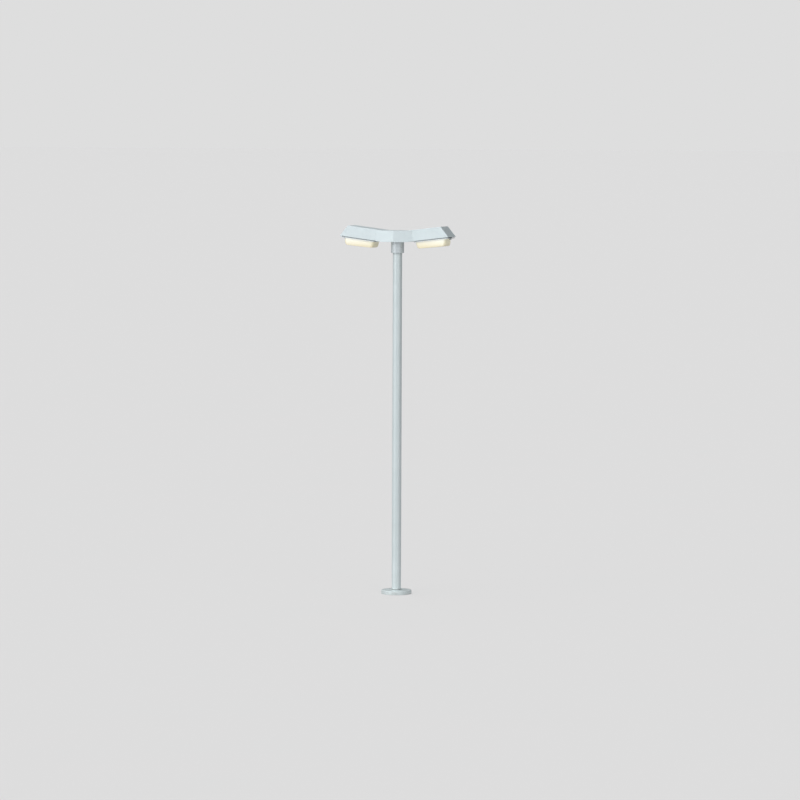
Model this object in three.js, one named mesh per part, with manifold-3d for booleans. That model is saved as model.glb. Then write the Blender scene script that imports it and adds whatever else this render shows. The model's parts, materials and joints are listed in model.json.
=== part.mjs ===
// A twin-head street lamp post: a slender steel column on a round flange, with two hip-roofed
// luminaires that rise from a central hub. Millimetres, +Z up, +X along the right arm, -Y the front,
// origin on the ground at the column's axis.
import * as THREE from "three";
import { mergeVertices } from "three/addons/utils/BufferGeometryUtils.js";
import Module from "manifold-3d";

const wasm = await Module();
wasm.setup();

// ---- Driving dimensions -------------------------------------------------------------------------
const GAP = 0.3; // space left between pieces that rest on each other
const SHEET = 4; // wall of the column's tube and of the base cover
const SKIN = 3; // wall of the hub's and the canopies' housings

const flange = { r: 190, thick: 20, cableHole: 45, boltHole: 12, boltCircle: 150, bolts: 4 };
const shaft = { r: 66.5, bottom: flange.thick + GAP, top: 4938 };
const cover = { r: 218, bottom: 1, shoulder: 44, edge: 10, top: 60, hole: 70 };
const seal = { rIn: 67, rOut: 74, thick: 3.5 };
const spigot = { r: 38.05, rIn: 34, plug: 30, cap: 6, top: 5030 };
const collar = {
  r: 93.5,
  wall: 7,
  bottom: 4912,
  top: 5070,
  bore: 38.6,
  boss: 48,
  hole: 30,
  screwZ: 4990,
  headroom: 2.5, // left over the spigot's top
};

const door = { width: 82, bottom: 560, top: 960, corner: 20, gap: 2, thick: 3 };
const frame = { rIn: 58.5, rOut: 62, halfAngle: 58, margin: 25, lip: 7.5 };
const doorHinge = { angle: 37.2, offset: 7.5, r: 5.5, pin: 2.5, length: 20, leafDrop: 8, z: [630, 890] };
const lock = { angle: 20, z: 820, barrel: 11, spindle: 5.5, camLength: 28, camR: 48.5 };

const fuse = { width: 64, bottom: 640, top: 770, back: -21.7, front: 23, slotWidth: 21, slotHeight: 51 };
const carrier = { offset: 15, back: 1, face: 33, grip: 39, play: 0.5 };
const earth = { z: 622, r: 4, nut: 7.5, wire: 2.5 };
const cableR = { supply: 9, riser: 6.5, lead: 4.5 };

const hub = { bottom: 5070, height: 162, bend: 185, ridge: 26, joint: 106 };
const arm = { tilt: 6.9, widthBottom: 302, widthTop: 288, length: 658, topLength: 555, jointGap: 1 };
const opening = { x0: 132, x1: 604, y: 128, cornerR: 30 }; // the mouth in the canopy's underside
const rim = { x0: 124, x1: 644, y: 145, top: -6.3, bottom: -18 };
const bowl = {
  x0: 135,
  x1: 594,
  y: 119,
  innerBottom: -109,
  outerBottom: -121,
  innerRun: 38,
  outerRun: 48,
  sideRun: 16,
  cornerR: 42,
  squareness: 3,
  wall: 3,
};
const bowlHinge = { x: 116, z: -13, pin: 3, knuckle: 6.5 };
const latch = { x: 628, shank: 4, wing: 10, top: 9.5 };
const lampAxis = 28; // height of the lamp's axis above the canopy's rim
const holderStart = 140; // inner end of the lamp holder
const tray = { x0: 118, x1: 540, y: 100, z: 84, thick: 2, footHalf: 60, footLength: 22 };
const crossArm = { bottom: 4.6, floor: 9, top: 46, reach: 125, y: 74, wall: 4.5 };
const clamp = { y: 58, r: 5, head: 9 }; // the two bolts that hold the head on the collar
const terminal = { x: 42, y: 30, rise: 70, height: 30 };

const TILT = THREE.MathUtils.degToRad(arm.tilt);

// ---- Materials ----------------------------------------------------------------------------------
const paint = (color, roughness, metalness) =>
  new THREE.MeshStandardMaterial({ color, roughness, metalness });
const materials = {
  columnPaint: paint(0xcdd8da, 0.42, 0.1),
  housingPaint: paint(0xdbe4e6, 0.38, 0.05),
  castPaint: paint(0xc4cfd2, 0.45, 0.15),
  galvanised: paint(0x9aa0a3, 0.5, 0.9),
  stainless: paint(0xb4b8ba, 0.3, 1),
  aluminium: paint(0xd5d7d8, 0.2, 1),
  opal: paint(0xf7f1da, 0.3, 0),
  glassWhite: paint(0xfbf6e6, 0.15, 0),
  ceramic: paint(0xefece4, 0.35, 0),
  rubber: paint(0x2b2d2e, 0.8, 0),
  blackPlastic: paint(0x1f2122, 0.5, 0),
  greyPlastic: paint(0x8a8f92, 0.55, 0),
  brass: paint(0xb9974f, 0.35, 1),
  earthGreen: paint(0x3f8f3b, 0.5, 0),
  board: paint(0xa98a5e, 0.7, 0),
};

// ---- Solids -------------------------------------------------------------------------------------
function solid(geometry) {
  const bare = geometry.index ? geometry.toNonIndexed() : geometry.clone();
  bare.deleteAttribute("normal");
  bare.deleteAttribute("uv");
  const merged = mergeVertices(bare, 1e-3);
  return new wasm.Manifold(
    new wasm.Mesh({
      numProp: 3,
      vertProperties: merged.attributes.position.array,
      triVerts: new Uint32Array(merged.index.array),
    }),
  );
}

function geometryOf(made) {
  const mesh = made.getMesh();
  const geometry = new THREE.BufferGeometry();
  geometry.setAttribute("position", new THREE.BufferAttribute(new Float32Array(mesh.vertProperties), 3));
  geometry.setIndex(new THREE.BufferAttribute(new Uint32Array(mesh.triVerts), 1));
  geometry.computeVertexNormals();
  return geometry;
}

const join = (first, ...rest) => rest.reduce((sum, piece) => sum.add(piece), first);
const cut = (first, ...tools) => tools.reduce((left, tool) => left.subtract(tool), first);

// A box given by its lowest and highest corners.
function block(x0, x1, y0, y1, z0, z1) {
  const box = new THREE.BoxGeometry(x1 - x0, y1 - y0, z1 - z0);
  return solid(box.translate((x0 + x1) / 2, (y0 + y1) / 2, (z0 + z1) / 2));
}

// A profile of [radius, height] pairs, counter-clockwise, turned about the Z axis.
function turned(profile, segments = 32) {
  const points = profile.map(([r, z]) => new THREE.Vector2(r, z));
  if (profile[0][0] > 0) points.push(points[0].clone());
  return solid(new THREE.LatheGeometry(points, segments).rotateX(Math.PI / 2));
}

// A rod of radius r from z0 to z1 about the Z axis.
const rod = (r, z0, z1, segments = 16) => turned([[0, z0], [r, z0], [r, z1], [0, z1]], segments);

// A solid turned and then moved: angles in radians about X, Y and Z.
function placed(piece, position, rotation = [0, 0, 0]) {
  const turn = new THREE.Quaternion().setFromEuler(new THREE.Euler(...rotation));
  const size = new THREE.Vector3(1, 1, 1);
  const matrix = new THREE.Matrix4().compose(new THREE.Vector3(...position), turn, size);
  return solid(geometryOf(piece).applyMatrix4(matrix));
}

const ALONG_X = [0, Math.PI / 2, 0]; // turns a rod's Z axis to +X
const ALONG_Y = [-Math.PI / 2, 0, 0]; // turns a rod's Z axis to +Y

// A solid skinned over rings of points, each ring counter-clockwise seen from the last ring.
function loft(rings) {
  const n = rings[0].length;
  const last = (rings.length - 1) * n;
  const index = [];
  for (let start = 0; start < last; start += n)
    for (let i = 0; i < n; i++) {
      const a = start + i;
      const b = start + ((i + 1) % n);
      index.push(a, b, b + n, a, b + n, a + n);
    }
  for (let i = 1; i < n - 1; i++) index.push(0, i + 1, i, last, last + i, last + i + 1);
  const geometry = new THREE.BufferGeometry();
  geometry.setAttribute("position", new THREE.Float32BufferAttribute(rings.flat(2), 3));
  return solid(geometry.setIndex(index));
}

// The outline of a rectangle with round corners, counter-clockwise.
function roundedRectangle(x0, x1, y0, y1, r, steps = 5) {
  const centres = [[x1 - r, y1 - r], [x0 + r, y1 - r], [x0 + r, y0 + r], [x1 - r, y0 + r]];
  return centres.flatMap(([cx, cy], corner) =>
    Array.from({ length: steps + 1 }, (_, i) => {
      const angle = ((corner + i / steps) * Math.PI) / 2;
      return [cx + r * Math.cos(angle), cy + r * Math.sin(angle)];
    }),
  );
}

// A round-cornered prism from z0 to z1.
function slab(x0, x1, y0, y1, r, z0, z1) {
  const outline = roundedRectangle(x0, x1, y0, y1, r);
  return loft([z0, z1].map((z) => outline.map(([x, y]) => [x, y, z])));
}

// A flat outline in X and Z, drawn with +Z up and +X to the right, given depth in Y.
function sidePlate(points, y0, y1) {
  const shape = new THREE.Shape(points.map(([x, z]) => new THREE.Vector2(x, z)));
  const plate = new THREE.ExtrudeGeometry(shape, { depth: y1 - y0, bevelEnabled: false });
  return solid(plate.rotateX(Math.PI / 2).translate(0, y1, 0));
}

// A round cable along a smooth curve through the points.
function cable(points, r, steps) {
  const section = new THREE.Shape();
  section.absarc(0, 0, r, 0, 2 * Math.PI);
  const extrudePath = new THREE.CatmullRomCurve3(points.map((p) => new THREE.Vector3(...p)));
  const options = { steps, extrudePath, curveSegments: 4, bevelEnabled: false };
  return solid(new THREE.ExtrudeGeometry(section, options));
}

function add(group, name, piece, material) {
  const mesh = new THREE.Mesh(geometryOf(piece), material);
  mesh.name = name;
  group.add(mesh);
}

// ---- Column -------------------------------------------------------------------------------------
const radians = THREE.MathUtils.degToRad;

// A tube between a distance outside the column's surface and a distance inside it.
function shaftShell(outset, inset, z0 = shaft.bottom, z1 = shaft.top) {
  const [rIn, rOut] = [shaft.r - inset, shaft.r + outset];
  return turned([[rIn, z0], [rOut, z0], [rOut, z1], [rIn, z1]], 64);
}

// The round-cornered door outline, drawn in from the opening's edge by inset, as a prism along +Y.
function doorPrism(inset) {
  const half = door.width / 2 - inset;
  const prism = slab(-half, half, door.bottom + inset, door.top - inset, door.corner - inset, 0, 90);
  // The slab's Y is the door's height and its Z is the door's depth.
  return placed(prism, [0, 0, 0], [Math.PI / 2, Math.PI, 0]);
}

// A point at an angle from +Y towards -X, at a radius from the column's axis.
const aroundDoor = (angle, r, z) => [-r * Math.sin(radians(angle)), r * Math.cos(radians(angle)), z];

function baseFlange() {
  const disc = turned([
    [flange.cableHole, 0],
    [flange.r, 0],
    [flange.r, flange.thick],
    [flange.cableHole, flange.thick],
  ], 48);
  const holes = Array.from({ length: flange.bolts }, (_, i) => {
    const angle = ((i + 0.5) * 2 * Math.PI) / flange.bolts;
    const at = [flange.boltCircle * Math.cos(angle), flange.boltCircle * Math.sin(angle), 0];
    return placed(rod(flange.boltHole, -1, flange.thick + 1, 24), at);
  });
  return cut(disc, ...holes);
}

// A dished cover: an outer face of radius r at the bottom, a rounded edge and a slightly raised top.
function baseCover() {
  const edge = (r, radius, z) =>
    Array.from({ length: 4 }, (_, i) => {
      const angle = (i * Math.PI) / 6;
      return [r - radius + radius * Math.cos(angle), z + radius * Math.sin(angle)];
    });
  const innerEdge = edge(cover.r - SHEET, cover.edge - SHEET, cover.shoulder).reverse();
  return turned([
    [cover.r, cover.bottom],
    ...edge(cover.r, cover.edge, cover.shoulder),
    [cover.hole, cover.top],
    [cover.hole, cover.top - SHEET],
    ...innerEdge,
    [cover.r - SHEET, cover.bottom],
  ], 48);
}

function coverSeal() {
  const z = cover.top + GAP;
  return turned([
    [seal.rIn, z],
    [seal.rOut, z],
    [seal.rOut, z + 1],
    [seal.rIn + 2, z + seal.thick],
    [seal.rIn, z + seal.thick],
  ], 48);
}

function topSpigot() {
  const plugR = shaft.r - SHEET - GAP;
  const capBottom = shaft.top + GAP;
  return turned([
    [spigot.rIn, shaft.top - spigot.plug],
    [plugR, shaft.top - spigot.plug],
    [plugR, capBottom],
    [shaft.r, capBottom],
    [shaft.r, shaft.top + spigot.cap],
    [spigot.r, shaft.top + spigot.cap],
    [spigot.r, spigot.top],
    [spigot.rIn, spigot.top],
  ], 32);
}

// The stiffening frame welded inside the door opening: the door rests on its lip.
function doorFrame() {
  const z0 = door.bottom - frame.margin;
  const z1 = door.top + frame.margin;
  const ring = turned([[frame.rIn, z0], [frame.rOut, z0], [frame.rOut, z1], [frame.rIn, z1]], 64);
  const reach = 90;
  const edge = reach * Math.tan(radians(90 - frame.halfAngle));
  const sector = [[0, 0], [reach, edge], [reach, reach], [-reach, reach], [-reach, edge]];
  const wedge = loft([z0 - 1, z1 + 1].map((z) => sector.map(([x, y]) => [x, y, z])));
  return cut(ring.intersect(wedge), doorPrism(frame.lip));
}

const hingeAxis = aroundDoor(doorHinge.angle, shaft.r + doorHinge.offset, 0);

// A hinge knuckle with its leaf, which runs towards the column (side 1) or the door (side -1).
function hingeKnuckle(z0, z1, side, leaf) {
  const barrel = rod(doorHinge.r, z0, z1, 20);
  const [x0, x1] = side > 0 ? [-leaf, 0] : [1, leaf];
  const plate = block(x0, x1, -doorHinge.r - doorHinge.leafDrop, -doorHinge.r + 3, z0, z1);
  const bore = rod(doorHinge.pin + 0.25, z0 - 1, z1 + 1, 16);
  return placed(cut(join(barrel, plate), bore), hingeAxis, [0, 0, radians(doorHinge.angle)]);
}

const columnKnuckle = (z) =>
  cut(hingeKnuckle(z, z + doorHinge.length, 1, 17), shaftShell(GAP, 30, door.bottom - 50, door.top + 50));

const hingePin = (z) => placed(rod(doorHinge.pin, z + 1, z + 2 * doorHinge.length, 16), hingeAxis);

// A piece drawn about +Z, with its heights as radii from the column's axis, laid along the lock's axis.
function onLockAxis(piece) {
  const turn = new THREE.Matrix4().makeRotationZ(-radians(lock.angle));
  const tip = new THREE.Matrix4().makeRotationX(-Math.PI / 2);
  const matrix = turn.multiply(tip).setPosition(0, 0, lock.z);
  return solid(geometryOf(piece).applyMatrix4(matrix));
}

function doorPanel() {
  const panel = shaftShell(0, door.thick, door.bottom - 20, door.top + 20).intersect(doorPrism(door.gap));
  const knuckles = doorHinge.z.map((z) =>
    hingeKnuckle(z + doorHinge.length + 0.6, z + 2 * doorHinge.length, -1, 22),
  );
  // Nothing of a knuckle stands inside the door's outer surface.
  const outside = knuckles.map((k) => cut(k, shaftShell(-0.5, 30, door.bottom - 20, door.top + 20)));
  return cut(join(panel, ...outside), onLockAxis(rod(lock.barrel + GAP, 40, 90, 24)));
}

const lockBarrel = () =>
  onLockAxis(turned([
    [lock.spindle + GAP, 54],
    [lock.barrel, 54],
    [lock.barrel, 68.5],
    [lock.spindle + GAP, 68.5],
  ], 24));

// The spindle has a three-sided key head at its outer end and a thin tail that holds the cam.
function lockSpindle() {
  const body = turned([
    [0, 44],
    [3.8, 44],
    [3.8, 51],
    [lock.spindle, 51],
    [lock.spindle, 64],
    [0, 64],
  ], 20);
  const key = solid(new THREE.CylinderGeometry(4.5, 4.5, 4.4, 3).rotateX(Math.PI / 2)).translate([0, 0, 66]);
  return onLockAxis(join(body, key));
}

function lockCam() {
  const tongue = block(-7, 7, -7, lock.camLength, lock.camR - 1.5, lock.camR + 1.5);
  return onLockAxis(cut(tongue, rod(4.1, 40, 60, 16)));
}

// ---- Electrics inside the column ----------------------------------------------------------------
function fuseBoard() {
  const board = block(-33, 33, -30, -22, door.bottom + 40, door.top - 60);
  const feet = [door.bottom + 80, door.top - 100].map((z) => block(-12, 12, -60.5, -29, z - 12, z + 12));
  return join(board, ...feet);
}

function fuseUnit() {
  const half = fuse.width / 2;
  const body = block(-half, half, fuse.back, fuse.front, fuse.bottom, fuse.top);
  const middle = (fuse.bottom + fuse.top) / 2;
  const [halfSlot, halfHeight] = [fuse.slotWidth / 2, fuse.slotHeight / 2];
  const slots = [-carrier.offset, carrier.offset].map((x) =>
    block(x - halfSlot, x + halfSlot, 0, fuse.front + 1, middle - halfHeight, middle + halfHeight),
  );
  const glandHole = block(-11, 11, -12, 12, fuse.bottom - 1, fuse.bottom + 14);
  return cut(body, ...slots, glandHole);
}

function fuseCarrier(x) {
  const middle = (fuse.bottom + fuse.top) / 2;
  const halfHeight = fuse.slotHeight / 2 - carrier.play;
  const half = fuse.slotWidth / 2 - carrier.play;
  const [z0, z1] = [middle - halfHeight, middle + halfHeight];
  const body = block(x - half, x + half, carrier.back, carrier.face, z0, z1);
  const grip = block(x - 3, x + 3, carrier.face - 1, carrier.grip, middle - 16, middle + 16);
  return join(body, grip);
}

function earthStud() {
  const stud = placed(rod(earth.r, -61, -36), [0, 0, earth.z], ALONG_X);
  const nut = placed(rod(earth.nut, -50, -44, 6), [0, 0, earth.z], ALONG_X);
  return join(stud, nut);
}

// The wire runs from the stud up beside the fuse unit.
function earthWire() {
  const path = [[-47, 11, 0], [-46, 14, 30], [-40, 12, 70], [-36, 8, 90]];
  return cable(path.map(([x, y, rise]) => [x, y, earth.z + rise]), earth.wire, 10);
}

// The supply comes up through the flange into the bottom of the fuse unit.
const supplyCable = () =>
  cable([[0, 0, 3], [0, 0, 150], [14, -6, 330], [6, 0, 500], [0, 0, fuse.bottom + 12]], cableR.supply, 20);

// The riser hangs slack inside the column, from the fuse unit to the terminal block in the hub.
function riserCable() {
  const slack = [[-18, -12, 1100], [12, -20, 2200], [-14, 10, 3300], [6, 6, 4300]];
  const path = [
    [0, 0, fuse.top + GAP],
    [0, 2, fuse.top + 60],
    ...slack,
    [0, 0, spigot.top - 120],
    [0, 0, hub.bottom + 66],
  ];
  return cable(path, cableR.riser, 28);
}

function column(group) {
  add(group, "base_flange", baseFlange(), materials.galvanised);
  add(group, "column_shaft", cut(shaftShell(0, SHEET), doorPrism(0)), materials.columnPaint);
  add(group, "top_spigot", topSpigot(), materials.galvanised);
  add(group, "base_cover", baseCover(), materials.columnPaint);
  add(group, "base_cover_seal", coverSeal(), materials.rubber);
  add(group, "door_frame", doorFrame(), materials.columnPaint);
  add(group, "door_panel", doorPanel(), materials.columnPaint);
  ["lower", "upper"].forEach((name, i) => {
    add(group, `door_hinge_${name}`, columnKnuckle(doorHinge.z[i]), materials.columnPaint);
    add(group, `door_pin_${name}`, hingePin(doorHinge.z[i]), materials.stainless);
  });
  add(group, "lock_barrel", lockBarrel(), materials.stainless);
  add(group, "lock_spindle", lockSpindle(), materials.brass);
  add(group, "lock_cam", lockCam(), materials.galvanised);
  add(group, "fuse_board", fuseBoard(), materials.board);
  add(group, "fuse_unit", fuseUnit(), materials.greyPlastic);
  add(group, "fuse_carrier_left", fuseCarrier(-carrier.offset), materials.blackPlastic);
  add(group, "fuse_carrier_right", fuseCarrier(carrier.offset), materials.blackPlastic);
  add(group, "earth_stud", earthStud(), materials.brass);
  add(group, "earth_wire", earthWire(), materials.earthGreen);
  add(group, "supply_cable", supplyCable(), materials.blackPlastic);
  add(group, "riser_cable", riserCable(), materials.blackPlastic);
}

// ---- Head: collar and hub -----------------------------------------------------------------------
const screwAngles = [90, 210, 330].map(radians);
const clampBoltY = [-clamp.y, clamp.y];

// A piece drawn along +X is turned about the column's axis.
const turnedTo = (angle, piece) => placed(piece, [0, 0, 0], [0, 0, angle]);
const alongScrew = (piece) => placed(piece, [0, 0, collar.screwZ], ALONG_X);

// The collar fits over the spigot: an outer skirt, a boss round the spigot, three ribs between them,
// and a boss in each rib for a set screw.
function collarCasting() {
  const ribBottom = collar.bottom + 40;
  const seat = shaft.top + spigot.cap + GAP; // the boss stands on the spigot's shoulder
  const body = turned([
    [collar.boss, seat],
    [collar.boss, collar.top - 14],
    [collar.r - collar.wall, collar.top - 14],
    [collar.r - collar.wall, collar.bottom + 3],
    [collar.r - collar.wall + 2, collar.bottom],
    [collar.r - 3, collar.bottom],
    [collar.r, collar.bottom + 3],
    [collar.r, collar.top],
    [collar.hole, collar.top],
    [collar.hole, spigot.top + collar.headroom],
    [collar.bore, spigot.top + collar.headroom],
    [collar.bore, seat],
  ], 48);
  const rib = block(collar.boss - 2, collar.r - 3, -4, 4, ribBottom, collar.top - 10);
  const screwBoss = alongScrew(rod(12, collar.boss - 2, collar.r - 1, 20));
  const screwHole = alongScrew(rod(5.4, collar.bore - 2, collar.r + 2, 16));
  const ribs = screwAngles.flatMap((angle) => [turnedTo(angle, rib), turnedTo(angle, screwBoss)]);
  const holes = screwAngles.map((angle) => turnedTo(angle, screwHole));
  const boltHole = rod(clamp.r + 0.6, collar.top - 40, collar.top + 1);
  const boltHoles = clampBoltY.map((y) => placed(boltHole, [0, y, 0]));
  return cut(join(body, ...ribs), ...holes, ...boltHoles);
}

// A grub screw with a six-sided socket in its outer end.
function setScrew(angle) {
  const screw = rod(5, collar.bore - 0.2, collar.r - 1, 16);
  const socket = rod(2.9, collar.r - 8, collar.r, 6);
  return turnedTo(angle, alongScrew(cut(screw, socket)));
}

// A point of an arm's own frame (x along the arm from the bend, z up from the rim) in the part's frame.
const fromArm = (x, z) => [
  hub.bend + x * Math.cos(TILT) - z * Math.sin(TILT),
  hub.bottom + x * Math.sin(TILT) + z * Math.cos(TILT),
];

// The hub's outline as rings across X: level in the middle, then rising with the arms. The inner
// skin is the same shape drawn in by the wall and run on past the bottom and the two ends.
function hubSkin(inset, bottomDrop, endReach) {
  const height = hub.height - inset;
  const slope = (arm.widthBottom - arm.widthTop) / 2 / hub.height;
  const end = fromArm(hub.joint + endReach, -bottomDrop);
  const endTop = fromArm(hub.joint + endReach, height);
  const bend = Math.tan(TILT / 2);
  const bendBottom = [hub.bend + bottomDrop * bend, hub.bottom - bottomDrop];
  const bendTop = [hub.bend - height * bend, hub.bottom + height];
  const reach = fromArm(hub.joint, 0)[0];
  const half = (x, z, rise) => {
    const ridge = hub.ridge * (1 - Math.abs(x) / reach);
    return arm.widthBottom / 2 + ridge - slope * rise - inset * Math.hypot(1, slope);
  };
  const ring = (sign, [xb, zb], [xt, zt]) => {
    const yb = half(xb, zb, -bottomDrop);
    const yt = half(xt, zt, height);
    return [[sign * xb, -yb, zb], [sign * xb, yb, zb], [sign * xt, yt, zt], [sign * xt, -yt, zt]];
  };
  return loft([
    ring(-1, end, endTop),
    ring(-1, bendBottom, bendTop),
    ring(1, [0, hub.bottom - bottomDrop], [0, hub.bottom + height]),
    ring(1, bendBottom, bendTop),
    ring(1, end, endTop),
  ]);
}

// A strip that follows the bent underside of the hub and arms, between two heights above it.
function bentStrip(low, high, reach, y) {
  const bend = Math.tan(TILT / 2);
  const right = (z) => [[hub.bend - z * bend, hub.bottom + z], fromArm(reach, z)];
  const mirror = ([x, z]) => [-x, z];
  const [bottomBend, bottomEnd] = right(low);
  const [topBend, topEnd] = right(high);
  const bottom = [mirror(bottomEnd), mirror(bottomBend), bottomBend, bottomEnd];
  const top = [topEnd, topBend, mirror(topBend), mirror(topEnd)];
  return sidePlate([...bottom, ...top], -y, y);
}

const clampBoltHoles = () =>
  clampBoltY.map((y) => placed(rod(clamp.r + 0.6, hub.bottom - 30, hub.bottom + 60), [0, y, 0]));
const cableHole = () => rod(20, hub.bottom - 30, hub.bottom + 60, 24);

// The hub's shell stands on the cross arm by a tab from its front wall and one from its back wall.
function hubHousing() {
  const shell = cut(hubSkin(0, 0, 0), hubSkin(SKIN, 6, 6));
  const z = hub.bottom + crossArm.top + GAP;
  const tabs = [-1, 1].map((side) => {
    const y = [side * (clamp.y + 4), side * arm.widthBottom].sort((a, b) => a - b);
    return block(-25, 25, ...y, z, z + SKIN).intersect(hubSkin(SKIN / 2, 0, 0));
  });
  return join(shell, ...tabs);
}

// The bent pan that closes the hub from below.
function hubPan() {
  const sheet = bentStrip(0.5, 3.5, hub.joint - 3, arm.widthBottom);
  return cut(sheet.intersect(hubSkin(SKIN + 0.7, 6, 6)), cableHole(), ...clampBoltHoles());
}

// A channel of bent sheet that carries both arms.
function crossArmChannel() {
  const outside = bentStrip(crossArm.bottom, crossArm.top, crossArm.reach, crossArm.y);
  const inside = bentStrip(crossArm.floor, 60, crossArm.reach + 15, crossArm.y - crossArm.wall);
  return cut(outside, inside, cableHole(), ...clampBoltHoles());
}

// A bolt down through the cross arm and the hub pan into the collar's top.
function clampBolt(y) {
  const seat = hub.bottom + crossArm.floor + 0.4;
  const head = rod(clamp.head, seat, seat + 6.6, 6);
  return placed(join(head, rod(clamp.r, hub.bottom - 13, seat + 1)), [0, y, 0]);
}

// A ceramic block on two legs, with a port at each end for a lantern's lead.
function terminalBlock() {
  const z = hub.bottom + terminal.rise;
  const body = block(-terminal.x, terminal.x, -terminal.y, terminal.y, z, z + terminal.height);
  const legBottom = hub.bottom + crossArm.floor + 0.6;
  const legs = [-1, 1].map((side) => block(side * 34 - 5, side * 34 + 5, -20, 20, legBottom, z + 1));
  const ports = [-1, 1].map((side) => {
    const [x, y] = [side * terminal.x, side * 15];
    return block(x - 8, x + 8, y - 7, y + 7, z + 6, z + 24);
  });
  return cut(join(body, ...legs), ...ports);
}

function hubGroup(group) {
  add(group, "collar", collarCasting(), materials.castPaint);
  screwAngles.forEach((angle, i) => add(group, `set_screw_${i + 1}`, setScrew(angle), materials.stainless));
  add(group, "hub_housing", hubHousing(), materials.housingPaint);
  add(group, "hub_pan", hubPan(), materials.castPaint);
  add(group, "cross_arm", crossArmChannel(), materials.galvanised);
  add(group, "clamp_bolt_front", clampBolt(clampBoltY[0]), materials.stainless);
  add(group, "clamp_bolt_rear", clampBolt(clampBoltY[1]), materials.stainless);
  add(group, "terminal_block", terminalBlock(), materials.ceramic);
}

// ---- Luminaire, in the arm's own frame: +X outwards, Z = 0 at the canopy's rim -------------------
// A hipped block: upright at its inner end, with its sides and outer end leaning in.
function hipped(x0, inset, bottom, top) {
  const rise = hub.height;
  const sideLean = (arm.widthBottom - arm.widthTop) / 2 / rise;
  const endLean = (arm.length - arm.topLength) / rise;
  const ring = (z) => {
    const x1 = arm.length - endLean * z - inset * Math.hypot(1, endLean);
    const y = arm.widthBottom / 2 - sideLean * z - inset * Math.hypot(1, sideLean);
    return [[x0, -y, z], [x1, -y, z], [x1, y, z], [x0, y, z]];
  };
  return loft([ring(bottom), ring(top)]);
}

// The canopy's shell, with a mouth for the bowl, a slot for the latch's wing and four bosses from its
// roof down to the gear tray.
function canopy() {
  const x0 = hub.joint + arm.jointGap;
  const shell = cut(hipped(x0, 0, 0, hub.height), hipped(x0 - 5, SKIN, SKIN, hub.height - SKIN));
  const mouth = roundAbout(opening, 0, -1, SKIN + 1);
  const halfSlot = latch.wing + 2;
  const latchSlot = block(latch.x - halfSlot, latch.x + halfSlot, -5.5, 5.5, -1, SKIN + 1);
  const boss = rod(7, tray.z + tray.thick + GAP, hub.height - SKIN + 1, 16);
  const bossPlaces = [[150, -88], [150, 88], [512, -80], [512, 80]];
  return join(cut(shell, mouth, latchSlot), ...bossPlaces.map(([x, y]) => placed(boss, [x, y, 0])));
}

// A round-cornered prism that stands off the edge of the mouth or the bowl by margin.
function roundAbout(edge, margin, z0, z1) {
  const y = edge.y + margin;
  return slab(edge.x0 - margin, edge.x1 + margin, -y, y, edge.cornerR + margin, z0, z1);
}

const gasket = () =>
  cut(roundAbout(opening, 8, rim.top + GAP, -GAP), roundAbout(opening, 2, rim.top - 1, 1));

const barrelAlongY = (r, y0, y1) => placed(rod(r, y0, y1, 20), [bowlHinge.x, 0, bowlHinge.z], ALONG_Y);

// The bracket under the canopy's inner end, with the two fixed hinge lugs.
function hingeBracket() {
  const x0 = hub.joint + 3;
  const x1 = opening.x0 - 9;
  const plate = block(x0, x1, -96, 96, -5.5, -GAP);
  const [neck0, neck1] = [bowlHinge.x - bowlHinge.knuckle, bowlHinge.x + bowlHinge.knuckle];
  const lugs = [-1, 1].flatMap((side) => {
    const y = [side * 30, side * 58].sort((a, b) => a - b);
    return [barrelAlongY(bowlHinge.knuckle, ...y), block(neck0, neck1, ...y, bowlHinge.z, -5)];
  });
  return cut(join(plate, ...lugs), barrelAlongY(bowlHinge.pin + GAP, -120, 120));
}

const bowlHingePin = () => barrelAlongY(bowlHinge.pin, -90, 90);

// The frame that carries the bowl, with a rebate for the bowl's lip and two hinge knuckles.
function bowlFrame() {
  const outer = slab(rim.x0, rim.x1, -rim.y, rim.y, 22, rim.bottom, rim.top);
  const mouth = roundAbout(bowl, 3, rim.bottom - 1, rim.top + 1);
  const rebate = roundAbout(bowl, 8, rim.top - 4, rim.top + 1);
  const shankHole = placed(rod(latch.shank + 0.4, rim.bottom - 1, rim.top + 1), [latch.x, 0, 0]);
  const knuckles = [-1, 1].flatMap((side) => {
    const y = [side * 60, side * 88].sort((a, b) => a - b);
    return [barrelAlongY(bowlHinge.knuckle, ...y), block(bowlHinge.x, rim.x0 + 2, ...y, rim.bottom, -9)];
  });
  const pinHole = barrelAlongY(bowlHinge.pin + GAP, -120, 120);
  return cut(join(outer, ...knuckles), mouth, rebate, shankHole, pinHole);
}

// Rings round the bowl from its bottom up to a height: each side is a squarish quarter ellipse.
function bowlRings(wall, from, steps = 8) {
  return Array.from({ length: steps + 1 }, (_, i) => {
    const angle = ((steps - i) / steps) * (Math.PI / 2);
    const sink = Math.sin(angle) ** (2 / bowl.squareness);
    const pull = 1 - Math.max(Math.cos(angle), 0) ** (2 / bowl.squareness);
    const x0 = bowl.x0 + wall + bowl.innerRun * pull;
    const x1 = bowl.x1 - wall - bowl.outerRun * pull;
    const y = bowl.y - wall - bowl.sideRun * pull;
    return roundedRectangle(x0, x1, -y, y, bowl.cornerR - wall).map(([px, py]) => {
      const share = (px - bowl.x0) / (bowl.x1 - bowl.x0);
      const bottom = bowl.innerBottom + (bowl.outerBottom - bowl.innerBottom) * share + wall;
      return [px, py, from + (bottom - from) * sink];
    });
  });
}

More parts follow.
